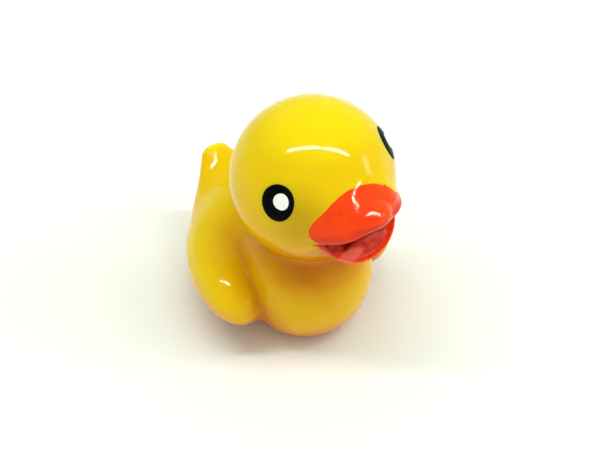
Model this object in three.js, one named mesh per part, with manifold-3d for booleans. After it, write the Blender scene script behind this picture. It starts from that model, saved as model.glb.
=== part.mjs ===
// A small duck figurine cast in resin as one solid piece: a round head with an open bill, a body with two wings
// and an upturned tail, and a foot ground flat. Millimetres and degrees; +Z is up, and the duck looks along -Y.
import * as THREE from "three";
import { mergeVertices } from "three/addons/utils/BufferGeometryUtils.js";
import Module from "manifold-3d";

// Chest: the front half of the body, an ellipsoid whose underside is ground flat.
const CHEST_WIDTH = 9.7;
const CHEST_LENGTH = 9.8;
const CHEST_HEIGHT = 10.8;
const CHEST_FORWARD = 1.49; // of the middle of the figurine's length
const CHEST_GROUND_OFF = 0.75;

// Rump: the rear half of the body, and the fillet between the halves.
const RUMP_WIDTH = 11;
const RUMP_LENGTH = 10.1;
const RUMP_HEIGHT = 8.6;
const RUMP_BEHIND_CHEST = 4.65;
const RUMP_GROUND_OFF = 0.1;
const BODY_FILLET = 2;

// Tail: a taper that rises out of the rump to a rounded tip, half as wide again as it is thick.
const TAIL_BEHIND_RUMP = 3.05;
const TAIL_BELOW_RUMP = 1.3;
const TAIL_LENGTH = 5.6;
const TAIL_PITCH = 49.5;
const TAIL_ROOT_RADIUS = 2.75;
const TAIL_TIP_RADIUS = 0.76;
const TAIL_WIDENING = 1.52;
const TAIL_FILLET = 2.5;

// Wings: a plump oval lobe on each flank. Its top leans out, and its rear end is tucked in and droops a little.
const WING_THICKNESS = 5;
const WING_LENGTH = 11.1;
const WING_HEIGHT = 6.5;
const WING_AHEAD_OF_RUMP = 1.1;
const WING_BELOW_RUMP = 0.35;
const WING_IN_FLANK = 1.17; // from the widest part of the rump in to the middle of the wing
const WING_LEAN = 37.5;
const WING_TUCK = 23.8;
const WING_DROOP = 7.5;
const WING_FILLET = 1;

// Head and neck: a ball that sits into the top of the chest.
const HEAD_DIAMETER = 11.6;
const HEAD_IN_CHEST = 1.95;
const HEAD_AHEAD_OF_CHEST = 1;
const NECK_DIAMETER = 6.8;
const NECK_FILLET = 1.2;

// Bill: two half spoons that meet at the corners of the mouth, which lie on the head.
const MOUTH_WIDTH = 6.6;
const MOUTH_BELOW_HEAD_CENTRE = 0.46;
const UPPER_BILL_LENGTH = 3.55;
const UPPER_BILL_HEIGHT = 3.12;
const UPPER_BILL_TILT = 27.5;
const NAIL_WIDTH = 2.76; // of the small swelling at the upper bill's tip
const NAIL_LENGTH = 2.44;
const NAIL_HEIGHT = 2.16;
const NAIL_BEHIND_TIP = 0.78;
const NAIL_UP = 0.73;
const NAIL_FILLET = 0.35;
const LOWER_BILL_WIDTH = 6.2;
const LOWER_BILL_LENGTH = 3.06;
const LOWER_BILL_DEPTH = 0.95;
const LOWER_BILL_TILT = 48;
const LOWER_BILL_WALL = 0.4;

// Mouth: the throat behind the lower bill's bowl, and the tongue on the bowl's floor.
const THROAT_WIDTH = 3.8;
const THROAT_LENGTH = 2.6;
const THROAT_DEPTH = 1.8;
const THROAT_FORWARD = 0.3;
const TONGUE_WIDTH = 3.4;
const TONGUE_LENGTH = 1.3;
const TONGUE_THICKNESS = 0.6;
const TONGUE_BEHIND_LIP = 1.2;

// Fineness of the triangle skins: the size of a grid cell on the body and on the bill, and a ball's segments.
const BODY_CELL = 0.7;
const BILL_CELL = 0.42;
const BALL_SEGMENTS = 32;

const wasm = await Module();
wasm.setup();

const radians = THREE.MathUtils.degToRad;
const vector = (x, y, z) => new THREE.Vector3(x, y, z);

// How far the grids and the cutting blocks reach past the shapes that they hold or cut.
const margin = 2 * BODY_CELL;

// Places that follow from the sizes above.
const chestRadii = vector(CHEST_WIDTH / 2, CHEST_LENGTH / 2, CHEST_HEIGHT / 2);
const chestCentre = vector(0, -CHEST_FORWARD, chestRadii.z - CHEST_GROUND_OFF);
const rumpRadii = vector(RUMP_WIDTH / 2, RUMP_LENGTH / 2, RUMP_HEIGHT / 2);
const rumpCentre = vector(0, chestCentre.y + RUMP_BEHIND_CHEST, rumpRadii.z - RUMP_GROUND_OFF);
const tailRoot = rumpCentre.clone().add(vector(0, TAIL_BEHIND_RUMP, -TAIL_BELOW_RUMP));
const tailDirection = vector(0, Math.cos(radians(TAIL_PITCH)), Math.sin(radians(TAIL_PITCH)));
const tailTip = tailRoot.clone().addScaledVector(tailDirection, TAIL_LENGTH);
const wingRadii = vector(WING_THICKNESS / 2, WING_LENGTH / 2, WING_HEIGHT / 2);
const headRadius = HEAD_DIAMETER / 2;
const chestTop = chestCentre.z + chestRadii.z;
const headCentre = vector(0, chestCentre.y - HEAD_AHEAD_OF_CHEST, chestTop - HEAD_IN_CHEST + headRadius);
const mouthForward = Math.sqrt(headRadius ** 2 - (MOUTH_WIDTH / 2) ** 2 - MOUTH_BELOW_HEAD_CENTRE ** 2);
const mouthCentre = headCentre.clone().add(vector(0, -mouthForward, -MOUTH_BELOW_HEAD_CENTRE));

// Frame of the left wing; the right one is its mirror image.
const wingFrame = new THREE.Matrix4()
  .makeRotationFromEuler(new THREE.Euler(-radians(WING_DROOP), radians(WING_LEAN), radians(WING_TUCK), "ZXY"))
  .setPosition(
    RUMP_WIDTH / 2 - WING_IN_FLANK,
    rumpCentre.y - WING_AHEAD_OF_RUMP,
    rumpCentre.z - WING_BELOW_RUMP,
  );
const wingFromDuck = wingFrame.clone().invert();

// Frames of the two halves of the bill, centred between the corners of the mouth: -Y runs along the half to its tip.
const billFrame = (tilt) => new THREE.Matrix4().makeRotationX(-radians(tilt)).setPosition(mouthCentre);
const upperFrame = billFrame(UPPER_BILL_TILT);
const lowerFrame = billFrame(-LOWER_BILL_TILT);

// Distance from a point to an ellipsoid about the origin, negative inside. It is exact on the surface.
function ellipsoidDistance(point, radii) {
  const scaled = point.clone().divide(radii);
  const slope = scaled.clone().divide(radii).length();
  const reach = scaled.length();
  return (reach * (reach - 1)) / Math.max(slope, Number.EPSILON);
}

// Distance from a point to a taper with round ends: the smooth hull of a ball at each end.
function taperDistance(point, start, end, startRadius, endRadius) {
  const axis = end.clone().sub(start);
  const length = axis.length();
  const offset = point.clone().sub(start);
  const along = offset.dot(axis) / length;
  const across = Math.sqrt(Math.max(offset.lengthSq() - along ** 2, 0));
  const sine = (startRadius - endRadius) / length;
  const cosine = Math.sqrt(1 - sine ** 2);
  const station = along * cosine - across * sine;
  if (station < 0) return Math.hypot(across, along) - startRadius;
  if (station > length * cosine) return Math.hypot(across, along - length) - endRadius;
  return across * cosine + along * sine - startRadius;
}

// Joins two shapes, given as distances, with a fillet of about this width in the crease between them.
function blend(first, second, fillet) {
  const closeness = Math.max(fillet - Math.abs(first - second), 0) / fillet;
  return Math.min(first, second) - (closeness ** 3 * fillet) / 6;
}

// The casting without its bill: body, tail, wings, neck and head, flowing into each other.
function figure(point) {
  const chest = ellipsoidDistance(point.clone().sub(chestCentre), chestRadii);
  const rump = ellipsoidDistance(point.clone().sub(rumpCentre), rumpRadii);
  const narrowed = vector(point.x / TAIL_WIDENING, point.y, point.z);
  const tail = taperDistance(narrowed, tailRoot, tailTip, TAIL_ROOT_RADIUS, TAIL_TIP_RADIUS);
  const leftSide = vector(Math.abs(point.x), point.y, point.z);
  const wings = ellipsoidDistance(leftSide.applyMatrix4(wingFromDuck), wingRadii);
  const neck = taperDistance(point, chestCentre, headCentre, NECK_DIAMETER / 2, NECK_DIAMETER / 2);
  const head = point.distanceTo(headCentre) - headRadius;
  const body = blend(blend(blend(chest, rump, BODY_FILLET), tail, TAIL_FILLET), wings, WING_FILLET);
  return blend(blend(body, neck, NECK_FILLET), head, NECK_FILLET);
}

// The upper bill, still whole round: a spoon with a small swelling at its tip.
function upperBill(point) {
  const spoon = ellipsoidDistance(point, vector(MOUTH_WIDTH / 2, UPPER_BILL_LENGTH, UPPER_BILL_HEIGHT));
  const nailCentre = vector(0, NAIL_BEHIND_TIP - UPPER_BILL_LENGTH, NAIL_UP);
  const nailRadii = vector(NAIL_WIDTH / 2, NAIL_LENGTH / 2, NAIL_HEIGHT / 2);
  return blend(spoon, ellipsoidDistance(point.clone().sub(nailCentre), nailRadii), NAIL_FILLET);
}

// Moves a point onto the surface where the distance is zero, along the surface's normal.
function settle(point, distance) {
  const probe = 1e-3;
  const passes = 4;
  for (let pass = 0; pass < passes; pass++) {
    const here = distance(point);
    const slope = vector(
      distance(point.clone().add(vector(probe, 0, 0))) - here,
      distance(point.clone().add(vector(0, probe, 0))) - here,
      distance(point.clone().add(vector(0, 0, probe))) - here,
    ).divideScalar(probe);
    point.addScaledVector(slope, -here / slope.lengthSq());
  }
  return point;
}

// Wraps a closed skin of triangles round a shape given by its distance. Space is cut into cubic cells about x = 0.
// Each cell that the surface crosses gets a vertex, and each cell edge that it crosses gets two triangles.
function skin(distance, low, high, cell) {
  const sideCells = Math.ceil(high.x / cell);
  const counts = [2 * sideCells, Math.ceil((high.y - low.y) / cell), Math.ceil((high.z - low.z) / cell)];
  const start = vector(-sideCells * cell, low.y, low.z);
  const corner = (i, j, k) => vector(i, j, k).multiplyScalar(cell).add(start);
  const key = (i, j, k) => i + (counts[0] + 1) * (j + (counts[1] + 1) * k);

  const depth = [];
  for (let k = 0; k <= counts[2]; k++)
    for (let j = 0; j <= counts[1]; j++)
      for (let i = 0; i <= counts[0]; i++) depth[key(i, j, k)] = distance(corner(i, j, k));

  // A cell's vertex starts at the mean of the points where the surface crosses the cell's edges.
  const positions = [];
  const vertexOfCell = new Map();
  const steps = [[1, 0, 0], [0, 1, 0], [0, 0, 1]];
  function addVertex(i, j, k) {
    const mean = vector(0, 0, 0);
    let crossings = 0;
    for (let axis = 0; axis < 3; axis++) {
      const ahead = steps[axis];
      const right = steps[(axis + 1) % 3];
      const above = steps[(axis + 2) % 3];
      for (const [across, up] of [[0, 0], [1, 0], [0, 1], [1, 1]]) {
        const from = [i, j, k].map((index, n) => index + across * right[n] + up * above[n]);
        const to = from.map((index, n) => index + ahead[n]);
        const before = depth[key(...from)];
        const after = depth[key(...to)];
        if (before < 0 === after < 0) continue;
        mean.add(corner(...from).lerp(corner(...to), before / (before - after)));
        crossings++;
      }
    }
    if (crossings === 0) return;
    vertexOfCell.set(key(i, j, k), positions.length / 3);
    positions.push(...settle(mean.divideScalar(crossings), distance).toArray());
  }
  for (let k = 0; k < counts[2]; k++)
    for (let j = 0; j < counts[1]; j++)
      for (let i = 0; i < counts[0]; i++) addVertex(i, j, k);

  // The four cells round a crossed edge make two triangles, split along the shorter diagonal.
  const triangles = [];
  const vertexAt = (index) => vector().fromArray(positions, 3 * index);
  function addTriangles(from, axis) {
    const ahead = steps[axis];
    const right = steps[(axis + 1) % 3];
    const above = steps[(axis + 2) % 3];
    const before = depth[key(...from)];
    const after = depth[key(...from.map((index, n) => index + ahead[n]))];
    if (before < 0 === after < 0) return;
    const ring = [[1, 1], [0, 1], [0, 0], [1, 0]].map(([across, up]) =>
      vertexOfCell.get(key(...from.map((index, n) => index - across * right[n] - up * above[n]))),
    );
    const [a, b, c, d] = before < 0 ? ring : ring.reverse();
    const straight = vertexAt(a).distanceTo(vertexAt(c)) <= vertexAt(b).distanceTo(vertexAt(d));
    triangles.push(...(straight ? [a, b, c, a, c, d] : [b, c, d, b, d, a]));
  }
  for (let k = 1; k < counts[2]; k++)
    for (let j = 1; j < counts[1]; j++)
      for (let i = 1; i < counts[0]; i++) for (let axis = 0; axis < 3; axis++) addTriangles([i, j, k], axis);

  return new THREE.BufferGeometry()
    .setAttribute("position", new THREE.Float32BufferAttribute(positions, 3))
    .setIndex(triangles);
}

// A closed geometry as a solid that can be joined and cut.
function solid(geometry) {
  const bare = geometry.clone().deleteAttribute("normal").deleteAttribute("uv");
  const merged = mergeVertices(bare);
  return new wasm.Manifold(
    new wasm.Mesh({
      numProp: 3,
      vertProperties: new Float32Array(merged.attributes.position.array),
      triVerts: new Uint32Array(merged.index.array),
    }),
  );
}

// A solid's surface as a geometry.
function geometryOf(body) {
  const mesh = body.getMesh();
  const geometry = new THREE.BufferGeometry()
    .setAttribute("position", new THREE.Float32BufferAttribute(mesh.vertProperties, 3))
    .setIndex(Array.from(mesh.triVerts));
  geometry.computeVertexNormals();
  return geometry;
}

// An ellipsoid of these radii about a place in one of the bill's frames.
function egg(radii, place, frame) {
  const ball = new THREE.SphereGeometry(1, BALL_SEGMENTS, BALL_SEGMENTS / 2).scale(...radii.toArray());
  return solid(ball.translate(...place.toArray()).applyMatrix4(frame));
}

// The casting without its bill, cut off at the ground.
function figureSolid() {
  const halfWidth = RUMP_WIDTH / 2 - WING_IN_FLANK + WING_LENGTH / 2 + margin;
  const front = Math.min(headCentre.y - headRadius, chestCentre.y - chestRadii.y) - margin;
  const rear = Math.max(tailTip.y + TAIL_TIP_RADIUS, rumpCentre.y + rumpRadii.y) + margin;
  const top = headCentre.z + headRadius + margin;
  const bottom = Math.min(-CHEST_GROUND_OFF, -RUMP_GROUND_OFF, tailRoot.z - TAIL_ROOT_RADIUS) - margin;
  const body = solid(skin(figure, vector(-halfWidth, front, bottom), vector(halfWidth, rear, top), BODY_CELL));
  const below = margin - bottom;
  const ground = new THREE.BoxGeometry(3 * halfWidth, 3 * (rear - front), below).translate(0, 0, -below / 2);
  return body.subtract(solid(ground));
}

// A block that fills everything above the lip of the upper bill, or below it.
function lipBlock(side) {
  const size = 2 * HEAD_DIAMETER;
  return solid(new THREE.BoxGeometry(size, size, size).translate(0, 0, (side * size) / 2).applyMatrix4(upperFrame));
}

// The two halves of the bill: the upper one cut level at its lip, the lower one still whole round.
function billSolid() {
  const side = MOUTH_WIDTH / 2 + margin;
  const tip = UPPER_BILL_LENGTH + NAIL_LENGTH / 2 + margin;
  const height = UPPER_BILL_HEIGHT + margin;
  const upper = skin(upperBill, vector(-side, -tip, -height), vector(side, tip, height), BILL_CELL);
  const lowerRadii = vector(LOWER_BILL_WIDTH / 2, LOWER_BILL_LENGTH, LOWER_BILL_DEPTH);
  const lower = egg(lowerRadii, vector(0, 0, 0), lowerFrame);
  return solid(upper.applyMatrix4(upperFrame)).subtract(lipBlock(-1)).add(lower);
}

// The gap between the halves of the bill: a wedge with its edge through the corners of the mouth.
function gapeSolid() {
  const reach = 2 * (UPPER_BILL_LENGTH + LOWER_BILL_LENGTH);
  const wedge = new THREE.Shape()
    .moveTo(0, 0)
    .lineTo(reach * Math.cos(radians(LOWER_BILL_TILT)), -reach * Math.sin(radians(LOWER_BILL_TILT)))
    .lineTo(reach * Math.cos(radians(UPPER_BILL_TILT)), reach * Math.sin(radians(UPPER_BILL_TILT)));
  const prism = new THREE.ExtrudeGeometry(wedge, { depth: HEAD_DIAMETER, bevelEnabled: false });
  // The wedge is drawn with its X forward and its Y up, and it is as deep as the head is wide.
  prism.applyMatrix4(new THREE.Matrix4().makeBasis(vector(0, -1, 0), vector(0, 0, 1), vector(-1, 0, 0)));
  return solid(prism.translate(HEAD_DIAMETER / 2, 0, 0).translate(...mouthCentre.toArray()));
}

// The inside of the lower bill, a bowl that deepens into the throat, kept under the roof of the mouth.
const bowlRadii = vector(
  LOWER_BILL_WIDTH / 2 - LOWER_BILL_WALL,
  LOWER_BILL_LENGTH - LOWER_BILL_WALL,
  LOWER_BILL_DEPTH - LOWER_BILL_WALL,
);
function bowlSolid() {
  const bowl = egg(bowlRadii, vector(0, 0, 0), lowerFrame);
  const throatRadii = vector(THROAT_WIDTH / 2, THROAT_LENGTH / 2, THROAT_DEPTH / 2);
  const throat = egg(throatRadii, vector(0, -THROAT_FORWARD, -throatRadii.z / 2), lowerFrame);
  return bowl.add(throat).subtract(lipBlock(1));
}

// The tongue, half sunk in the floor of the bowl behind the lower lip.
function tongueSolid() {
  const forward = LOWER_BILL_LENGTH - TONGUE_BEHIND_LIP;
  const floor = -bowlRadii.z * Math.sqrt(1 - (forward / bowlRadii.y) ** 2);
  const radii = vector(TONGUE_WIDTH / 2, TONGUE_LENGTH / 2, TONGUE_THICKNESS / 2);
  return egg(radii, vector(0, -forward, floor), lowerFrame);
}

const casting = figureSolid().add(billSolid()).subtract(gapeSolid()).subtract(bowlSolid()).add(tongueSolid());
const yellowResin = new THREE.MeshStandardMaterial({ color: 0xf0c010, roughness: 0.12, metalness: 0 });
const duckFigurine = new THREE.Mesh(geometryOf(casting), yellowResin);
duckFigurine.name = "duck_figurine";

const duck = new THREE.Group();
duck.add(duckFigurine);

export default duck;
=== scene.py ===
import itertools
import math

import bpy
import numpy as np
from mathutils import Matrix, Vector


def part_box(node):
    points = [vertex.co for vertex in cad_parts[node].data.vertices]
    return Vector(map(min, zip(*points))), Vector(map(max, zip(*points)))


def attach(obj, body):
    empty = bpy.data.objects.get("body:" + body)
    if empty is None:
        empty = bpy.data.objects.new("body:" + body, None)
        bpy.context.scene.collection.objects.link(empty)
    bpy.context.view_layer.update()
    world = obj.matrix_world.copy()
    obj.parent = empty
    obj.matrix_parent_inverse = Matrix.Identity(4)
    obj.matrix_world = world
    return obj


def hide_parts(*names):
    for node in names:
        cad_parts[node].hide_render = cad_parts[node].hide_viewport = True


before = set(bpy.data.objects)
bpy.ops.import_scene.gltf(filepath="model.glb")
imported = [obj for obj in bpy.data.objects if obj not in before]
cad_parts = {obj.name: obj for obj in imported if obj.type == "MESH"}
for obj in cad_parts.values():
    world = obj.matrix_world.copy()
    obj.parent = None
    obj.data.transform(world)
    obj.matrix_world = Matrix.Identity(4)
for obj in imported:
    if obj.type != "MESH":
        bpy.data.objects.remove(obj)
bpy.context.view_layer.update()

MM = 0.001  # one millimetre in metres

# Sizes of the casting in millimetres and degrees, as in the CAD source unless a comment says otherwise.
# The duck looks along -Y, up is +Z, and its left side is +X.
CHEST_RADII = np.array([4.85, 4.9, 5.4])
CHEST_CENTRE = np.array([0, -1.49, 4.65])
RUMP_RADII = np.array([5.5, 5.05, 4.3])
RUMP_CENTRE = np.array([0, 3.16, 4.2])
BODY_FILLET = 2.0
TAIL_BEHIND_RUMP = 3.05
TAIL_BELOW_RUMP = 1.3
TAIL_LENGTH = 5.5  # 0.1 less than in the CAD source, whose facets cut the round tip short
TAIL_PITCH = 49.5
TAIL_ROOT_RADIUS = 2.75
TAIL_TIP_RADIUS = 0.76
TAIL_WIDENING = 1.52
TAIL_FILLET = 2.5
WING_RADII = np.array([2.5, 5.55, 3.25])
WING_CENTRE = np.array([4.33, 2.06, 3.85])
WING_LEAN = 37.5
WING_TUCK = 23.8
WING_DROOP = 7.5
WING_FILLET = 1.0
HEAD_RADIUS = 5.8
HEAD_CENTRE = np.array([0, -2.49, 13.9])
NECK_RADIUS = 3.4
NECK_FILLET = 1.2
MOUTH_HALF_WIDTH = 3.3
MOUTH_BELOW_HEAD_CENTRE = 0.46
UPPER_BILL_RADII = np.array([MOUTH_HALF_WIDTH, 3.55, 3.12])
UPPER_BILL_TILT = 27.5
NAIL_CENTRE = np.array([0, -2.77, 0.73])
NAIL_RADII = np.array([1.38, 1.22, 1.08])
NAIL_FILLET = 0.35
LOWER_BILL_RADII = np.array([3.1, 3.06, 0.95])
LOWER_BILL_TILT = -48
LOWER_BILL_WALL = 0.3  # 0.1 less than in the CAD source, for a finer rim
THROAT_CENTRE = np.array([0, -0.3, -0.45])
THROAT_RADII = np.array([1.9, 1.3, 0.9])
TONGUE_CENTRE = np.array([0, -1.86, -0.4])  # its height is rounded
TONGUE_RADII = np.array([1.7, 0.65, 0.3])

# Fine forms that only the looks have: unevenness, fillets and rounded edges, nail crown, nostrils and lip.
LEFT_WING_INWARD = 0.3
LEFT_BILL_WIDENING = 1.06
BILL_TURN = 0.85
BILL_ROLL = 4.7
SKIN_INSET = 0.02  # keeps the fine skin inside the box of the coarser solid
UPPER_BILL_FILLET = 1.6
LOWER_BILL_FILLET = 0.5
FOOT_EDGE = 0.3
GAPE_EDGE = 0.2
LIP_EDGE = 0.45
BOWL_EDGE = 0.3
BOWL_FILLET = 0.4
BOWL_ROOF_EDGE = 0.1
TONGUE_FILLET = 0.25
NAIL_CROWN_AXIS = np.array([0.594, 0.427, 0.681])
NAIL_CROWN_PLACE = -0.15
NAIL_CROWN_WIDTH = 0.5
NAIL_CROWN_RADIUS = 1.205
NAIL_CROWN_BEND = 9.0
NAIL_CROWN_EDGE = 0.06
NOSTRIL_CENTRE = np.array([1.93, -2.12, 1.86])
NOSTRIL_RADIUS = 0.27
NOSTRIL_EDGE = 0.15
LIP_SAG = 0.24
LIP_SAG_PLACE = -2.4
LIP_SAG_REACH = 1.0
LIP_GROOVE_HEIGHT = 0.52
LIP_GROOVE_WIDTH = 0.2
LIP_GROOVE_DEPTH = 0.05
LIP_GROOVE_EDGE = 0.4

# Where the coats of paint and the painted shades end: on the bill in its own frames, on the cheek in the
# duck's.
FACE_PAINT_CENTRE = np.array([-0.35, 0, 0])
FACE_PAINT_RADII = np.array([3.27, 6, 3.1])
FACE_PAINT_DROP = 0.24
FACE_PAINT_ROUNDING = 2.0
CORNER_PAINT_CENTRE = np.array([-2.6, 0, 0.9])
CORNER_PAINT_RADII = np.array([1.05, 6, 1.0])
CORNER_PAINT_FILLET = 0.5
BARE_CENTRE = np.array([3.2, -0.95, 2.0])
BARE_RADIUS = 1.4
BARE_EDGE = 0.2
LIP_PAINT_ROUNDING = 0.5
GAPE_PAINT_CENTRE = np.array([2.75, -0.1, -0.55])
GAPE_PAINT_RADIUS = 0.5
GAPE_PAINT_FILLET = 0.3
JAW_PAINT_START = -1.1
BILL_PAINT_SPREAD = 0.12
MOUTH_PAINT_SPREAD = 0.1
PALATE_PAINT_HEIGHT = 0.1
PALATE_PAINT_INSET = 0.3
TONGUE_PAINT_CENTRE = np.array([-1.5, -2.05, -0.25])
TONGUE_PAINT_RADII = np.array([1.1, 0.4, 0.45])
# A painted shade and reflection along the lip, as a band reaching this far above and below it.
LIP_PAINTED_SHADE_HEIGHT = 0.58
# A painted shade on the right cheek, between the eye and the bill.
CHEEK_CENTRE = np.array([-3.9, -6.4, 14.9])
CHEEK_RADII = np.array([1.5, 1.5, 1.9])


def turn(axis, angle):
    """Rotation matrix about one of the axes, numbered from 0, by an angle in degrees."""
    cosine = math.cos(math.radians(angle))
    sine = math.sin(math.radians(angle))
    following = (axis + 1) % 3
    last = (axis + 2) % 3
    matrix = np.eye(3)
    matrix[following, following] = cosine
    matrix[last, last] = cosine
    matrix[following, last] = -sine
    matrix[last, following] = sine
    return matrix


# Places and frames that follow from the sizes.
TAIL_ROOT = RUMP_CENTRE + np.array([0, TAIL_BEHIND_RUMP, -TAIL_BELOW_RUMP])
TAIL_TIP = TAIL_ROOT + turn(0, TAIL_PITCH) @ np.array([0, TAIL_LENGTH, 0])
WING_FRAME = turn(2, WING_TUCK) @ turn(0, -WING_DROOP) @ turn(1, WING_LEAN)
BILL_FRAME = turn(2, BILL_TURN) @ turn(1, -BILL_ROLL)
MOUTH_FORWARD = math.sqrt(HEAD_RADIUS**2 - MOUTH_HALF_WIDTH**2 - MOUTH_BELOW_HEAD_CENTRE**2)
MOUTH_CENTRE = HEAD_CENTRE - BILL_FRAME @ np.array([0, MOUTH_FORWARD, MOUTH_BELOW_HEAD_CENTRE])
UPPER_FRAME = BILL_FRAME @ turn(0, -UPPER_BILL_TILT)
LOWER_FRAME = BILL_FRAME @ turn(0, -LOWER_BILL_TILT)


# Shapes as signed distances, negative inside.
TINY = 1e-9  # keeps divisions by nothing away


def length_of(vectors):
    """Length of each vector in an array of them."""
    return np.sqrt(np.sum(vectors * vectors, axis=-1))


def ellipsoid(points, radii):
    """Distance to an ellipsoid about the origin, exact on its surface."""
    scaled = points / radii
    reach = length_of(scaled)
    slope = length_of(scaled / radii)
    return reach * (reach - 1) / np.maximum(slope, TINY)


def ball(points, centre, radius):
    """Distance to a ball."""
    return length_of(points - centre) - radius


def taper(points, start, end, start_radius, end_radius):
    """Distance to a taper with round ends: the hull of a ball at each end."""
    axis = end - start
    length = np.linalg.norm(axis)
    offset = points - start
    along = offset @ (axis / length)
    across = np.sqrt(np.maximum(np.sum(offset * offset, axis=-1) - along**2, 0))
    sine = (start_radius - end_radius) / length
    cosine = math.sqrt(1 - sine**2)
    station = along * cosine - across * sine
    side = across * cosine + along * sine - start_radius
    root = np.hypot(across, along) - start_radius
    tip = np.hypot(across, along - length) - end_radius
    return np.where(station < 0, root, np.where(station > length * cosine, tip, side))


def join(first, second, fillet):
    """Union of two shapes with a fillet in the crease between them."""
    closeness = np.maximum(fillet - np.abs(first - second), 0) / fillet
    return np.minimum(first, second) - closeness**3 * fillet / 6


def keep(first, second, edge):
    """What two shapes have in common, with the edge between them rounded."""
    return -join(-first, -second, edge)


def cut(first, second, edge):
    """The first shape without the second, with the edge between them rounded."""
    return keep(first, -second, edge)


# The casting.


def mirrored(points):
    """The points moved to the duck's left side."""
    return np.stack([np.abs(points[..., 0]), points[..., 1], points[..., 2]], axis=-1)


def body(points):
    """Chest, rump, tail and wings."""
    chest = ellipsoid(points - CHEST_CENTRE, CHEST_RADII)
    rump = ellipsoid(points - RUMP_CENTRE, RUMP_RADII)
    narrowed = points / np.array([TAIL_WIDENING, 1, 1])
    tail = taper(narrowed, TAIL_ROOT, TAIL_TIP, TAIL_ROOT_RADIUS, TAIL_TIP_RADIUS)
    from_wing = mirrored(points) - WING_CENTRE
    from_wing[..., 0] += np.where(points[..., 0] > 0, LEFT_WING_INWARD, 0)
    wings = ellipsoid(from_wing @ WING_FRAME, WING_RADII)
    return join(join(join(chest, rump, BODY_FILLET), tail, TAIL_FILLET), wings, WING_FILLET)


def figure(points):
    """Body, neck and head, without the bill."""
    neck = taper(points, CHEST_CENTRE, HEAD_CENTRE, NECK_RADIUS, NECK_RADIUS)
    head = ball(points, HEAD_CENTRE, HEAD_RADIUS)
    return join(join(body(points), neck, NECK_FILLET), head, NECK_FILLET)


def lip_height(upper):
    """Height over the upper bill's lip, which hangs a little lower on the duck's right."""
    beside = (upper[..., 0] - LIP_SAG_PLACE) / LIP_SAG_REACH
    return upper[..., 2] + LIP_SAG * np.exp(-beside * beside)


def nail(offset):
    """The nail at the bill's tip, from its middle, with a flatter crown on its brow."""
    along = offset @ NAIL_CROWN_AXIS
    across = np.sqrt(np.maximum(np.sum(offset * offset, axis=-1) - along**2, 0))
    beside = along - NAIL_CROWN_PLACE
    crown = across + beside**2 / (2 * NAIL_CROWN_BEND) - NAIL_CROWN_RADIUS
    crown = keep(crown, np.abs(beside) - NAIL_CROWN_WIDTH / 2, NAIL_CROWN_EDGE)
    return join(ellipsoid(offset, NAIL_RADII), crown, NAIL_CROWN_EDGE)


def upper_spoon(upper):
    """The upper bill before the mouth is cut, from points in the upper bill's frame."""
    spoon = ellipsoid(upper, UPPER_BILL_RADII)
    beside_groove = np.abs(upper[..., 2] - LIP_GROOVE_HEIGHT) - LIP_GROOVE_WIDTH / 2
    spoon = cut(spoon, np.maximum(beside_groove, -LIP_GROOVE_DEPTH - spoon), LIP_GROOVE_EDGE)
    nostrils = ball(mirrored(upper), NOSTRIL_CENTRE, NOSTRIL_RADIUS)
    return cut(join(spoon, nail(upper - NAIL_CENTRE), NAIL_FILLET), nostrils, NOSTRIL_EDGE)


def bowl(upper, lower):
    """The hollow of the lower bill and the throat behind it, kept under the roof of the mouth."""
    hollow = ellipsoid(lower, LOWER_BILL_RADII - LOWER_BILL_WALL)
    throat = ellipsoid(lower - THROAT_CENTRE, THROAT_RADII)
    return keep(join(hollow, throat, BOWL_FILLET), lip_height(upper), BOWL_ROOF_EDGE)


def evened(place):
    """Points in a frame of the bill, with its wider left half drawn in to match its right half."""
    place[..., 0] /= np.where(place[..., 0] > 0, LEFT_BILL_WIDENING, 1)
    return place


def bill_frames(points):
    """The points in the frames of the upper and the lower bill, centred between the mouth's corners."""
    offset = points - MOUTH_CENTRE
    return evened(offset @ UPPER_FRAME), evened(offset @ LOWER_FRAME)


def casting(points):
    """The whole duck."""
    upper, lower = bill_frames(points)
    above_lip = lip_height(upper)
    above_rim = lower[..., 2]
    gape = keep(above_lip, -above_rim, BOWL_ROOF_EDGE)
    upper_bill = keep(upper_spoon(upper), -above_lip, LIP_EDGE)
    lower_bill = keep(ellipsoid(lower, LOWER_BILL_RADII), above_rim, LIP_EDGE)
    duck = cut(join(figure(points), upper_bill, UPPER_BILL_FILLET), gape, GAPE_EDGE)
    duck = cut(join(duck, lower_bill, LOWER_BILL_FILLET), bowl(upper, lower), BOWL_EDGE)
    duck = join(duck, ellipsoid(lower - TONGUE_CENTRE, TONGUE_RADII), TONGUE_FILLET)
    return keep(duck + SKIN_INSET, -points[..., 2], FOOT_EDGE)


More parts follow.
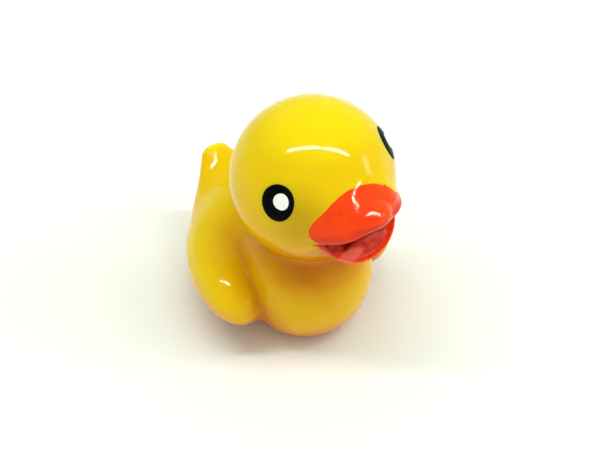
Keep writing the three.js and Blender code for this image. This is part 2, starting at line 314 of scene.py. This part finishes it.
def paint_distances(points):
    """Distance to the edge of each coat of paint and of each painted shade, negative where it lies."""
    upper, lower = bill_frames(points)
    spoon = ellipsoid(upper, UPPER_BILL_RADII)
    above_lip = lip_height(upper)
    under = -FACE_PAINT_DROP - above_lip
    face = keep(ellipsoid(upper - FACE_PAINT_CENTRE, FACE_PAINT_RADII), under, FACE_PAINT_ROUNDING)
    corner = ellipsoid(upper - CORNER_PAINT_CENTRE, CORNER_PAINT_RADII)
    face = join(face, corner, CORNER_PAINT_FILLET)
    bare = ball(upper, BARE_CENTRE, BARE_RADIUS)
    spoon_paint = cut(upper_spoon(upper) - BILL_PAINT_SPREAD, bare, BARE_EDGE)
    top = np.minimum(face, keep(spoon_paint, under, LIP_PAINT_ROUNDING))
    gape_paint = ball(mirrored(upper), GAPE_PAINT_CENTRE, GAPE_PAINT_RADIUS)
    top = join(top, gape_paint, GAPE_PAINT_FILLET)
    jaw = np.maximum(ellipsoid(lower, LOWER_BILL_RADII), lower[..., 1] - JAW_PAINT_START)
    palate = np.maximum(above_lip - PALATE_PAINT_HEIGHT, spoon + PALATE_PAINT_INSET)
    return {
        "bill_paint": np.minimum(top, jaw - BILL_PAINT_SPREAD),
        "lip_painted_shade": np.maximum(above_lip - LIP_PAINTED_SHADE_HEIGHT, -above_lip - LIP_PAINTED_SHADE_HEIGHT),
        "mouth_paint": np.minimum(bowl(upper, lower) - MOUTH_PAINT_SPREAD, palate),
        "tongue_paint": ellipsoid(lower - TONGUE_PAINT_CENTRE, TONGUE_PAINT_RADII),
        "cheek_painted_shade": ellipsoid(points - CHEEK_CENTRE, CHEEK_RADII),
    }


# The skin of the casting: a grid with small cells round the bill and larger ones elsewhere.
FINE_CELL = 0.085
COARSE_CELL = 0.17
GRID_MARGIN = 0.5
CELL_CORNERS = 8
FINE_LOW = np.array([-3.9, -10.8, 10.3])
FINE_HIGH = np.array([3.9, -5.6, 17.6])
SETTLE_PASSES = 4
SETTLE_PROBE = 1e-3
SETTLE_LEAST_SLOPE = 1e-6  # squared
RELAX_PASSES = 3
RELAX_SETTLE_PASSES = 2


def grid_lines(axis, low, high):
    """Places of the grid's planes across one axis."""
    coarsening = 1
    fine = FINE_CELL * coarsening
    coarse = COARSE_CELL * coarsening
    before = np.arange(FINE_LOW[axis], low - GRID_MARGIN, -coarse)[::-1]
    within = np.arange(FINE_LOW[axis] + fine, FINE_HIGH[axis] - fine / 2, fine)
    after = np.arange(FINE_HIGH[axis], high + GRID_MARGIN, coarse)
    return np.concatenate([before, within, after])


def slope_of(distance, points):
    """Gradient of a distance at each point."""
    steps = np.eye(3) * SETTLE_PROBE
    ahead = [distance(points + step) for step in steps]
    behind = [distance(points - step) for step in steps]
    return (np.stack(ahead, axis=-1) - np.stack(behind, axis=-1)) / (2 * SETTLE_PROBE)


def settle(distance, points, passes):
    """Moves points onto the surface along its normal."""
    for _ in range(passes):
        slope = slope_of(distance, points)
        step = distance(points) / np.maximum(np.sum(slope * slope, axis=-1), SETTLE_LEAST_SLOPE)
        points = points - step[:, None] * slope
    return points


def relax(distance, points, quads):
    """Evens out the spacing of the points along the surface."""
    ends = np.concatenate([quads[:, [n, (n + 1) % 4]] for n in range(4)])
    count = np.bincount(ends[:, 0], minlength=len(points)) + np.bincount(ends[:, 1], minlength=len(points))
    for _ in range(RELAX_PASSES):
        total = np.zeros_like(points)
        for axis in range(3):
            total[:, axis] += np.bincount(ends[:, 0], points[ends[:, 1], axis], len(points))
            total[:, axis] += np.bincount(ends[:, 1], points[ends[:, 0], axis], len(points))
        halfway = (points + total / count[:, None]) / 2
        points = settle(distance, halfway, RELAX_SETTLE_PASSES)
    return settle(distance, points, SETTLE_PASSES)


def mean_crossings(depth, lines, cells):
    """Mean of the points where the surface crosses the edges of each of these grid cells."""
    total = np.zeros((len(cells), 3))
    count = np.zeros(len(cells))
    for axis, across, up in itertools.product(range(3), range(2), range(2)):
        start = cells.copy()
        start[:, (axis + 1) % 3] += across
        start[:, (axis + 2) % 3] += up
        end = start.copy()
        end[:, axis] += 1
        before = depth[tuple(start.T)]
        after = depth[tuple(end.T)]
        crossed = (before < 0) != (after < 0)
        share = np.where(crossed, before / np.where(crossed, before - after, 1), 0)
        place = np.stack([lines[n][start[:, n]] for n in range(3)], axis=-1)
        step = lines[axis][end[:, axis]] - lines[axis][start[:, axis]]
        place[:, axis] += share * step
        total += np.where(crossed[:, None], place, 0)
        count += crossed
    return total / count[:, None]


def skin(distance, low, high):
    """Wraps a shape in a closed skin: each grid cell that the surface crosses gets a point,
    and each grid edge that it crosses gets the quad of the four cells round it."""
    lines = [grid_lines(axis, low[axis], high[axis]) for axis in range(3)]
    layer = np.stack(np.meshgrid(lines[0], lines[1], [0.0], indexing="ij"), axis=-1)[:, :, 0]
    depth = np.stack([distance(layer + np.array([0, 0, z])) for z in lines[2]], axis=-1)
    inside = depth < 0

    corners_inside = np.zeros([len(line) - 1 for line in lines], int)
    for shift in itertools.product(range(2), repeat=3):
        window = tuple(slice(s, s + size) for s, size in zip(shift, corners_inside.shape))
        corners_inside += inside[window]
    crossed_cells = np.argwhere((corners_inside > 0) & (corners_inside < CELL_CORNERS))
    point_of_cell = np.full(corners_inside.shape, -1)
    point_of_cell[tuple(crossed_cells.T)] = np.arange(len(crossed_cells))
    points = mean_crossings(depth, lines, crossed_cells)

    quads = []
    for axis in range(3):
        step = np.eye(3, dtype=int)[axis]
        right = np.eye(3, dtype=int)[(axis + 1) % 3]
        above = np.eye(3, dtype=int)[(axis + 2) % 3]
        starts = np.argwhere(np.diff(inside, axis=axis))
        ring = [starts, starts - right, starts - right - above, starts - above]
        corner_points = np.stack([point_of_cell[tuple(cell.T)] for cell in ring], axis=-1)
        leaving = inside[tuple(starts.T)]
        quads.append(np.where(leaving[:, None], corner_points, corner_points[:, ::-1]))
    quads = np.concatenate(quads)
    points = relax(distance, settle(distance, points, SETTLE_PASSES), quads)
    return points, quads


def add_mesh(name, points, faces):
    """A new smooth mesh object from points in millimetres."""
    mesh = bpy.data.meshes.new(name)
    mesh.from_pydata((np.asarray(points) * MM).tolist(), [], faces)
    mesh.polygons.foreach_set("use_smooth", np.ones(len(mesh.polygons), bool))
    mesh.update()
    made = bpy.data.objects.new(name, mesh)
    bpy.context.scene.collection.objects.link(made)
    return made


# How openly each point lies to the light from above; this sets the painted shade that darkens the resin's
# colour in its hollows and below.
OPEN_TILT = 55  # degrees from the normal to the slanted directions that are felt along
OPEN_SPOKES = 6
OPEN_SIDE = (0.36, 0.48, 0.8)  # a fixed direction that the spokes are counted from
OPEN_REACHES = (0.8, 1.6, 3.2, 5.0)  # millimetres
OPEN_LEVEL_WEIGHT = 0.35  # of a level direction; one straight up weighs 1


def openness(points, normals):
    """Share of the light from above that finds its way to each point."""
    sideways = np.cross(normals, OPEN_SIDE)
    sideways /= np.maximum(length_of(sideways), TINY)[:, None]
    beside = np.cross(normals, sideways)
    tilt = math.radians(OPEN_TILT)
    directions = [(normals, 1)]
    for spoke in range(OPEN_SPOKES):
        angle = 2 * math.pi * spoke / OPEN_SPOKES
        outward = math.cos(angle) * sideways + math.sin(angle) * beside
        directions.append((math.cos(tilt) * normals + math.sin(tilt) * outward, math.cos(tilt)))
    total = np.zeros(len(points))
    for direction, cosine in directions:
        clear = np.ones(len(points))
        for reach in OPEN_REACHES:
            clear = np.minimum(clear, casting(points + reach * direction) / (reach * cosine))
        weight = OPEN_LEVEL_WEIGHT + (1 - OPEN_LEVEL_WEIGHT) * direction[:, 2]
        total += np.clip(weight, 0, 1) * np.clip(clear, 0, 1)
    return total / (1 + OPEN_SPOKES * (OPEN_LEVEL_WEIGHT + (1 - OPEN_LEVEL_WEIGHT) * math.cos(tilt)))


def make_casting():
    """The duck itself, with the paint's distances and the openness kept on its points for the material."""
    low, high = [np.array(corner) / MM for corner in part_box("duck_figurine")]
    points, quads = skin(casting, low, high)
    normals = slope_of(casting, points)
    normals /= length_of(normals)[:, None]
    made = add_mesh("duck_casting", points, quads.tolist())
    for name, values in {**paint_distances(points), "openness": openness(points, normals)}.items():
        attribute = made.data.attributes.new(name, "FLOAT", "POINT")
        attribute.data.foreach_set("value", values.astype(np.float32))
    made.data.normals_split_custom_set_from_vertices(normals.tolist())
    made.data.materials.append(resin_material())
    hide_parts("duck_figurine")
    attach(made, "root")


def towards(bearing, elevation):
    """Direction at a bearing from the duck's front and an elevation, both in degrees."""
    around = math.radians(bearing)
    lift = math.radians(elevation)
    level = math.cos(lift)
    return Vector((math.sin(around) * level, -math.cos(around) * level, math.sin(lift)))


# Eyes: films of paint on the head, each a black oval with a white dot.
EYES = {"right": (-61.8, 20.7), "left": (64.2, 25.2)}  # degrees from straight ahead, and up
EYE_RADII = (1.21, 1.41)  # across and up
EYE_FILM = 0.05
EYE_PHASE = 0.6  # of the outline's waver, in radians
DOT_RADII = (0.62, 0.68)
DOT_FORWARD = {"right": 0.25, "left": -0.2}  # of the middle of the eye
DOT_UP = {"right": 0.2, "left": -0.05}
DOT_FILM = 0.08
DOT_PHASE = 2.1
FILM_ROOT = 0.06  # how deep a film's hidden underside lies in the casting
FILM_DOME = 4  # power of the profile; a higher one has a flatter top
FILM_RINGS = 14
FILM_SPOKES = 72
FILM_WAVER = 0.03  # of a hand-painted outline, as a share of its radius


def film_side(ahead, radii, shift, thickness, phase):
    """Points of one side of a film on the head: its middle, then ring after ring out to its edge."""
    across = Vector((0, 0, 1)).cross(ahead).normalized()
    above = ahead.cross(across)
    points = []
    for ring in range(FILM_RINGS + 1):
        share = ring / FILM_RINGS
        height = HEAD_RADIUS - SKIN_INSET + thickness * math.sqrt(1 - share**FILM_DOME)
        for spoke in range(FILM_SPOKES if ring else 1):
            angle = 2 * math.pi * spoke / FILM_SPOKES
            waver = 1 + FILM_WAVER * (math.sin(2 * angle + phase) + math.sin(3 * angle - phase)) / 2
            sideways = shift[0] + radii[0] * share * waver * math.cos(angle)
            upwards = shift[1] + radii[1] * share * waver * math.sin(angle)
            outward = (ahead * HEAD_RADIUS + across * sideways + above * upwards).normalized()
            points.append(HEAD_CENTRE + height * np.array(outward))
    return points


def film_faces():
    """Faces that join the points of one side of a film."""
    rings = [1 + ring * FILM_SPOKES for ring in range(FILM_RINGS)]
    faces = []
    for spoke in range(FILM_SPOKES):
        following = (spoke + 1) % FILM_SPOKES
        faces.append([0, 1 + spoke, 1 + following])
        for inner, outer in zip(rings, rings[1:]):
            faces.append([inner + spoke, outer + spoke, outer + following, inner + following])
    return faces


def make_film(name, material, ahead, radii, shift, thickness, phase):
    """A closed film of paint: a domed top, and an underside sunk into the casting that shares its edge."""
    top = film_side(ahead, radii, shift, thickness, phase)
    edge = 1 + (FILM_RINGS - 1) * FILM_SPOKES
    underside = film_side(ahead, radii, shift, -FILM_ROOT, phase)[:edge]
    faces = film_faces()
    turned = [[n if n >= edge else n + len(top) for n in reversed(face)] for face in faces]
    made = add_mesh(name, np.array(top + underside), faces + turned)
    made.data.materials.append(material)
    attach(made, "root")


def make_eyes():
    """The painted eyes, the two not quite alike."""
    black = eye_black_material()
    white = eye_white_material()
    for side, (bearing, elevation) in EYES.items():
        ahead = towards(bearing, elevation)
        forward = -math.copysign(1, bearing) * DOT_FORWARD[side]
        make_film("eye_black_" + side, black, ahead, EYE_RADII, (0, 0), EYE_FILM, EYE_PHASE)
        shift = (forward, DOT_UP[side])
        make_film("eye_white_" + side, white, ahead, DOT_RADII, shift, DOT_FILM, DOT_PHASE)


# Materials. Colours are linear, and texture scales are in features per metre.
# The resin's colour with painted shade, darker where less of the light from above reaches.
RESIN_SHADE_STOPS = (  # from shut in to open
    (0.08, (0.53, 0.11, 0.002, 1)),
    (0.20, (0.62, 0.21, 0.002, 1)),
    (0.35, (0.76, 0.395, 0.002, 1)),
    (0.50, (0.785, 0.495, 0.002, 1)),
    (0.68, (0.84, 0.572, 0.002, 1)),
    (0.84, (0.83, 0.59, 0.002, 1)),
    (0.92, (0.87, 0.66, 0.002, 1)),
    (1.00, (0.95, 0.71, 0.002, 1)),
)
RESIN_DRIFT = 0.04  # of the openness, from place to place
RESIN_DRIFT_SCALE = 300
RESIN_IOR = 1.5
RESIN_SPECULAR = 0.14
RESIN_ROUGHNESS = (0.06, 0.1)
RESIN_WAVES = 350
RESIN_SCATTER_WEIGHT = 1.0
RESIN_SCATTER_RADIUS = (1.0, 0.45, 0.1)
RESIN_SCATTER_SCALE = 1.0 * MM
# The right cheek's painted shade, and how strongly it darkens the resin.
CHEEK_PAINTED_SHADE = (0.50, 0.31, 0.003, 1)
CHEEK_STRENGTH = 0.6
# The lip's band of painted shade and reflection, duller and pinker than the bill's paint.
LIP_PAINTED_SHADE = (0.64, 0.056, 0.022, 1)
ORANGE_LIGHT = (0.97, 0.078, 0.006, 1)
ORANGE_DEEP = (0.92, 0.058, 0.004, 1)
ORANGE_SCALE = 500
# The mouth's red paint, and the painted shade that darkens it towards the throat, where little light
# reaches.
MOUTH_RED = (0.82, 0.05, 0.014, 1)
MOUTH_PAINTED_SHADE = (0.25, 0.026, 0.016, 1)
# Openness at which the throat's painted shade gives way to the red in front.
MOUTH_OPENNESS = (0.05, 0.30)  # from the dark of the throat to the red in front
MOUTH_MOTTLE = 0.25
MOUTH_MOTTLE_SCALE = 2600
MOUTH_ROUGHNESS = 0.25  # on top of the resin's
TONGUE_PINK = (0.93, 0.18, 0.13, 1)
EYE_BLACK = (0.002, 0.002, 0.003, 1)
EYE_BLACK_WORN = (0.005, 0.005, 0.007, 1)
EYE_BLACK_SCALE = 1800
EYE_BLACK_ROUGHNESS = (0.12, 0.2)
EYE_WHITE = (1.0, 0.97, 0.97, 1)
EYE_WHITE_DULL = (0.94, 0.92, 0.86, 1)
EYE_WHITE_SCALE = 2500
EYE_WHITE_ROUGHNESS = (0.15, 0.3)
EYE_WAVES = 900
EYE_SPECULAR = 0.01  # of the black paint
FLOOR_PALE = (0.965, 0.985, 0.985, 1)
FLOOR_DULL = (0.955, 0.975, 0.975, 1)
FLOOR_SCALE = 40
FLOOR_ROUGHNESS = 0.9
FLOOR_SPECULAR = 0.1
PAINT_EDGE = 0.025  # half the width of a coat's soft edge in millimetres, as in the next three
LIP_PAINTED_SHADE_EDGE = 0.18
TONGUE_EDGE = 0.12
CHEEK_EDGE = 1.1
PAINT_EDGE_WAVER = 0.08
PAINT_EDGE_SCALE = 1500
WAVER_DETAIL = 2
MOTTLE_DETAIL = 3
MOTTLE_RANGE = (0.35, 0.65)  # of the noise, from the one colour to the other
POLISH_SCALE = 700
POLISH_DETAIL = 4
POLISH_RANGE = (0.3, 0.7)  # of the noise
WAVE_DETAIL = 2
WAVE_STRENGTH = 0.05
WAVE_HEIGHT = 0.2 * MM
MIX_SHARE = 0  # numbers of the Mix node's sockets when it mixes colours
MIX_FIRST = 6
MIX_SECOND = 7
MIX_RESULT = 2


def add_node(tree, kind, inputs, **settings):
    """Adds a node and sets it up; an input that is given as a socket is linked to it."""
    made = tree.nodes.new(kind)
    for name, value in settings.items():
        setattr(made, name, value)
    for name, value in inputs.items():
        if isinstance(value, bpy.types.NodeSocket):
            tree.links.new(value, made.inputs[name])
        else:
            made.inputs[name].default_value = value
    return made


def new_material(name):
    """An empty material, its node tree, and the coordinates that its textures use."""
    material = bpy.data.materials.new(name)
    material.use_nodes = True
    tree = material.node_tree
    tree.nodes.clear()
    place = add_node(tree, "ShaderNodeTexCoord", {}).outputs["Object"]
    return material, tree, place


def noise(tree, place, scale, detail):
    """Smooth noise from about 0.3 to 0.7."""
    inputs = {"Vector": place, "Scale": scale, "Detail": detail}
    return add_node(tree, "ShaderNodeTexNoise", inputs).outputs["Fac"]


def spread(tree, value, low, high, to_low, to_high):
    """The value taken from one range to another, and held inside it."""
    inputs = {"Value": value, "From Min": low, "From Max": high, "To Min": to_low, "To Max": to_high}
    return add_node(tree, "ShaderNodeMapRange", inputs).outputs["Result"]


def mix(tree, share, first, second):
    """A colour between two others."""
    inputs = {MIX_SHARE: share, MIX_FIRST: first, MIX_SECOND: second}
    return add_node(tree, "ShaderNodeMix", inputs, data_type="RGBA").outputs[MIX_RESULT]


def mottle(tree, place, scale, first, second):
    """Two close colours that drift into each other."""
    share = spread(tree, noise(tree, place, scale, MOTTLE_DETAIL), *MOTTLE_RANGE, 0, 1)
    return mix(tree, share, first, second)


def ramp(tree, value, stops):
    """The colour that runs through these stops as the value rises."""
    made = add_node(tree, "ShaderNodeValToRGB", {"Fac": value})
    elements = made.color_ramp.elements
    elements.remove(elements[1])
    elements[0].position, elements[0].color = stops[0]
    for position, colour in stops[1:]:
        elements.new(position).color = colour
    return made.outputs["Color"]


def added(tree, first, second):
    """The sum of two values."""
    return add_node(tree, "ShaderNodeMath", {0: first, 1: second}, operation="ADD").outputs["Value"]


def uneven(tree, place, name, scale, waver):
    """A value kept on the casting's points, made to waver a little from place to place."""
    value = add_node(tree, "ShaderNodeAttribute", {}, attribute_name=name).outputs["Fac"]
    shift = spread(tree, noise(tree, place, scale, WAVER_DETAIL), 0, 1, -waver, waver)
    return added(tree, value, shift)


def coat(tree, place, name, edge):
    """Share of a coat of paint at each point; its uneven edge has this half width in millimetres."""
    distance = uneven(tree, place, name, PAINT_EDGE_SCALE, PAINT_EDGE_WAVER)
    return spread(tree, distance, -edge, edge, 1, 0)


def polish(tree, place, low, high):
    """A roughness that drifts between two values."""
    return spread(tree, noise(tree, place, POLISH_SCALE, POLISH_DETAIL), *POLISH_RANGE, low, high)


def surface(tree, inputs):
    """Ends a material with a surface that has these inputs."""
    shader = add_node(tree, "ShaderNodeBsdfPrincipled", inputs)
    add_node(tree, "ShaderNodeOutputMaterial", {"Surface": shader.outputs["BSDF"]})


def gloss(tree, place, waves, inputs):
    """Ends a material with a glossy surface that has faint waves of this scale."""
    height = noise(tree, place, waves, WAVE_DETAIL)
    wave_inputs = {"Height": height, "Strength": WAVE_STRENGTH, "Distance": WAVE_HEIGHT}
    bump = add_node(tree, "ShaderNodeBump", wave_inputs)
    surface(tree, {"Normal": bump.outputs["Normal"], **inputs})


def bare_colour(tree, place):
    """Yellow resin with painted shade: darker in its hollows and below, and on the right cheek."""
    # painted shade from the openness, darker in the hollows and underneath
    yellow = ramp(tree, uneven(tree, place, "openness", RESIN_DRIFT_SCALE, RESIN_DRIFT), RESIN_SHADE_STOPS)
    # the right cheek darkened as painted shade
    cheek = spread(tree, coat(tree, place, "cheek_painted_shade", CHEEK_EDGE), 0, 1, 0, CHEEK_STRENGTH)
    return mix(tree, cheek, yellow, CHEEK_PAINTED_SHADE)


def bill_colour(tree, place):
    """Orange-red paint, deeper in places, with a painted shade and reflection in a duller, pinker band
    along the lip.
    """
    orange = mottle(tree, place, ORANGE_SCALE, ORANGE_LIGHT, ORANGE_DEEP)
    # the lip's band of painted shade and reflection
    return mix(tree, coat(tree, place, "lip_painted_shade", LIP_PAINTED_SHADE_EDGE), orange, LIP_PAINTED_SHADE)


def mouth_colour(tree, place):
    """Mottled red paint with painted shade that darkens it towards the throat."""
    depth = uneven(tree, place, "openness", MOUTH_MOTTLE_SCALE, MOUTH_MOTTLE)
    # painted shade from the openness, darker towards the throat
    return mix(tree, spread(tree, depth, *MOUTH_OPENNESS, 0, 1), MOUTH_PAINTED_SHADE, MOUTH_RED)


def resin_material():
    """Glossy yellow resin that lets light in a little, with the paint of the bill, mouth and tongue."""
    material, tree, place = new_material("yellow_resin")
    on_bill = coat(tree, place, "bill_paint", PAINT_EDGE)
    in_mouth = coat(tree, place, "mouth_paint", PAINT_EDGE)
    on_tongue = coat(tree, place, "tongue_paint", TONGUE_EDGE)
    colour = mix(tree, on_bill, bare_colour(tree, place), bill_colour(tree, place))
    colour = mix(tree, in_mouth, colour, mouth_colour(tree, place))
    colour = mix(tree, on_tongue, colour, TONGUE_PINK)
    matt = spread(tree, in_mouth, 0, 1, 0, MOUTH_ROUGHNESS)
    inputs = {
        "Base Color": colour,
        "Roughness": added(tree, polish(tree, place, *RESIN_ROUGHNESS), matt),
        "IOR": RESIN_IOR,
        "Specular IOR Level": RESIN_SPECULAR,
        "Subsurface Weight": RESIN_SCATTER_WEIGHT,
        "Subsurface Radius": RESIN_SCATTER_RADIUS,
        "Subsurface Scale": RESIN_SCATTER_SCALE,
    }
    gloss(tree, place, RESIN_WAVES, inputs)
    return material


def eye_black_material():
    """Black gloss paint, thinner in places."""
    material, tree, place = new_material("eye_black")
    inputs = {
        "Base Color": mottle(tree, place, EYE_BLACK_SCALE, EYE_BLACK, EYE_BLACK_WORN),
        "Roughness": polish(tree, place, *EYE_BLACK_ROUGHNESS),
        "Specular IOR Level": EYE_SPECULAR,
    }
    gloss(tree, place, EYE_WAVES, inputs)
    return material


def eye_white_material():
    """White gloss paint, a little uneven."""
    material, tree, place = new_material("eye_white")
    inputs = {
        "Base Color": mottle(tree, place, EYE_WHITE_SCALE, EYE_WHITE, EYE_WHITE_DULL),
        "Roughness": polish(tree, place, *EYE_WHITE_ROUGHNESS),
    }
    gloss(tree, place, EYE_WAVES, inputs)
    return material


def floor_material():
    """Pale matt paper."""
    material, tree, place = new_material("floor_paper")
    inputs = {
        "Base Color": mottle(tree, place, FLOOR_SCALE, FLOOR_PALE, FLOOR_DULL),
        "Roughness": FLOOR_ROUGHNESS,
        "Specular IOR Level": FLOOR_SPECULAR,
    }
    surface(tree, inputs)
    return material


# Camera, at the photograph's viewing angle. The image is taken as 600 by 450 pixels.
VIEW_BEARING = -35.5
VIEW_ELEVATION = 42.5
VIEW_DISTANCE = 0.190  # metres from the middle of the head
LENS = 165.1  # millimetres, like the width of the sensor
SENSOR = 36
IMAGE_WIDTH = 600
HEAD_RIGHT_OF_MIDDLE = 12.8  # pixels in the photograph
HEAD_ABOVE_MIDDLE = 47.8
CLIP_START = 0.01


def view_axes():
    """Right and back of the camera."""
    around = math.radians(VIEW_BEARING)
    right = Vector((math.cos(around), math.sin(around), 0))
    return right, towards(VIEW_BEARING, VIEW_ELEVATION)


def placed(x_axis, z_axis, place):
    """Matrix of an object with these axes at this place."""
    y_axis = z_axis.cross(x_axis)
    return Matrix.Translation(place) @ Matrix((x_axis, y_axis, z_axis)).transposed().to_4x4()


def make_camera():
    """The camera, with its picture shifted so that the head lies where it does in the photograph."""
    right, back = view_axes()
    data = bpy.data.cameras.new("camera")
    data.lens = LENS
    data.sensor_width = SENSOR
    data.shift_x = -HEAD_RIGHT_OF_MIDDLE / IMAGE_WIDTH
    data.shift_y = -HEAD_ABOVE_MIDDLE / IMAGE_WIDTH
    data.clip_start = CLIP_START
    made = bpy.data.objects.new("camera", data)
    bpy.context.scene.collection.objects.link(made)
    made.matrix_world = placed(right, back, Vector(HEAD_CENTRE * MM) + back * VIEW_DISTANCE)
    bpy.context.scene.camera = made


# Stage: a pale floor, a ceiling lamp of two bars, a weak strip at the right, and even light all round.
FLOOR_SIZE = 4.0  # metres
FLOOR_BELOW_FOOT = 0.02 * MM
BAR_HEIGHT = 0.45  # metres above the head
BAR_TOWARDS_CAMERA = 0.12  # as a share of the height, like the bars' widths and spans
BAR_WIDTH = 0.05
BAR_SPANS = ((-0.64, 0.15), (0.21, 1.14))  # from over the head to the right
BAR_RADIANCE = 22.5
SHINE_WIDTH = 0.065  # of a bar's glare, a second lamp that only reflections show
SHINE_RADIANCE = 57
SHINE_TINT = (1, 0.95, 0.7)
SHINE_BEHIND = 0.002  # metres behind the lamp that it belongs to
STRIP_LOW = Vector((0.584, -0.797, 0.154))  # directions from the head
STRIP_HIGH = Vector((0.846, -0.383, 0.372))
STRIP_DISTANCE = 0.4  # metres, like the strip's width
STRIP_WIDTH = 0.06
STRIP_RADIANCE = 3.2
STRIP_SHINE_RADIANCE = 2.3
SKY_RADIANCE = 0.66
SKY_TINT = (0.92, 1, 0.83, 1)
LAMP_POWER_PER_RADIANCE = 4  # for each unit of a flat lamp's area


def make_floor():
    """A level sheet just under the foot."""
    half = FLOOR_SIZE / 2 / MM
    level = -FLOOR_BELOW_FOOT / MM
    outline = ((-half, -half), (half, -half), (half, half), (-half, half))
    corners = [(x, y, level) for x, y in outline]
    floor = add_mesh("floor", corners, [[0, 1, 2, 3]])
    floor.data.materials.append(floor_material())


def make_lamp(name, start, end, facing, width, radiance):
    """A lamp shaped as a flat bar from start to end."""
    along = end - start
    data = bpy.data.lights.new(name, "AREA")
    data.shape = "RECTANGLE"
    data.size = along.length
    data.size_y = width
    data.energy = LAMP_POWER_PER_RADIANCE * radiance * along.length * width
    made = bpy.data.objects.new(name, data)
    bpy.context.scene.collection.objects.link(made)
    made.matrix_world = placed(along.normalized(), -facing, (start + end) / 2)
    made.visible_camera = False
    return made


def make_shine(name, start, end, facing, width, radiance):
    """A lamp close behind another one that only reflections show."""
    behind = facing * -SHINE_BEHIND
    made = make_lamp(name, start + behind, end + behind, facing, width, radiance)
    made.visible_diffuse = False
    return made


def make_bars():
    """The two bars overhead, with their glare."""
    right, back = view_axes()
    up = Vector((0, 0, 1))
    nearer = Vector((back.x, back.y, 0)).normalized() * BAR_TOWARDS_CAMERA
    head = Vector(HEAD_CENTRE * MM)
    for number, span in enumerate(BAR_SPANS):
        ends = [head + (right * share + nearer + up) * BAR_HEIGHT for share in span]
        make_lamp(f"bar_{number}", *ends, -up, BAR_WIDTH * BAR_HEIGHT, BAR_RADIANCE)
        shine = make_shine(f"shine_{number}", *ends, -up, SHINE_WIDTH * BAR_HEIGHT, SHINE_RADIANCE)
        shine.data.color = SHINE_TINT


def make_strip():
    """The strip at the right, turned to the head, with its glare."""
    head = Vector(HEAD_CENTRE * MM)
    low = head + STRIP_LOW * STRIP_DISTANCE
    high = head + STRIP_HIGH * STRIP_DISTANCE
    along = (high - low).normalized()
    inward = head - (low + high) / 2
    facing = (inward - along * inward.dot(along)).normalized()
    make_lamp("strip", low, high, facing, STRIP_WIDTH, STRIP_RADIANCE)
    make_shine("strip_shine", low, high, facing, STRIP_WIDTH, STRIP_SHINE_RADIANCE)


def make_sky():
    """Even light from all round."""
    world = bpy.data.worlds.new("sky")
    world.use_nodes = True
    background = world.node_tree.nodes["Background"]
    background.inputs["Color"].default_value = SKY_TINT
    background.inputs["Strength"].default_value = SKY_RADIANCE
    bpy.context.scene.world = world


make_camera()
make_casting()
make_eyes()
make_floor()
make_bars()
make_strip()
make_sky()
bpy.context.scene.view_settings.view_transform = "Standard"
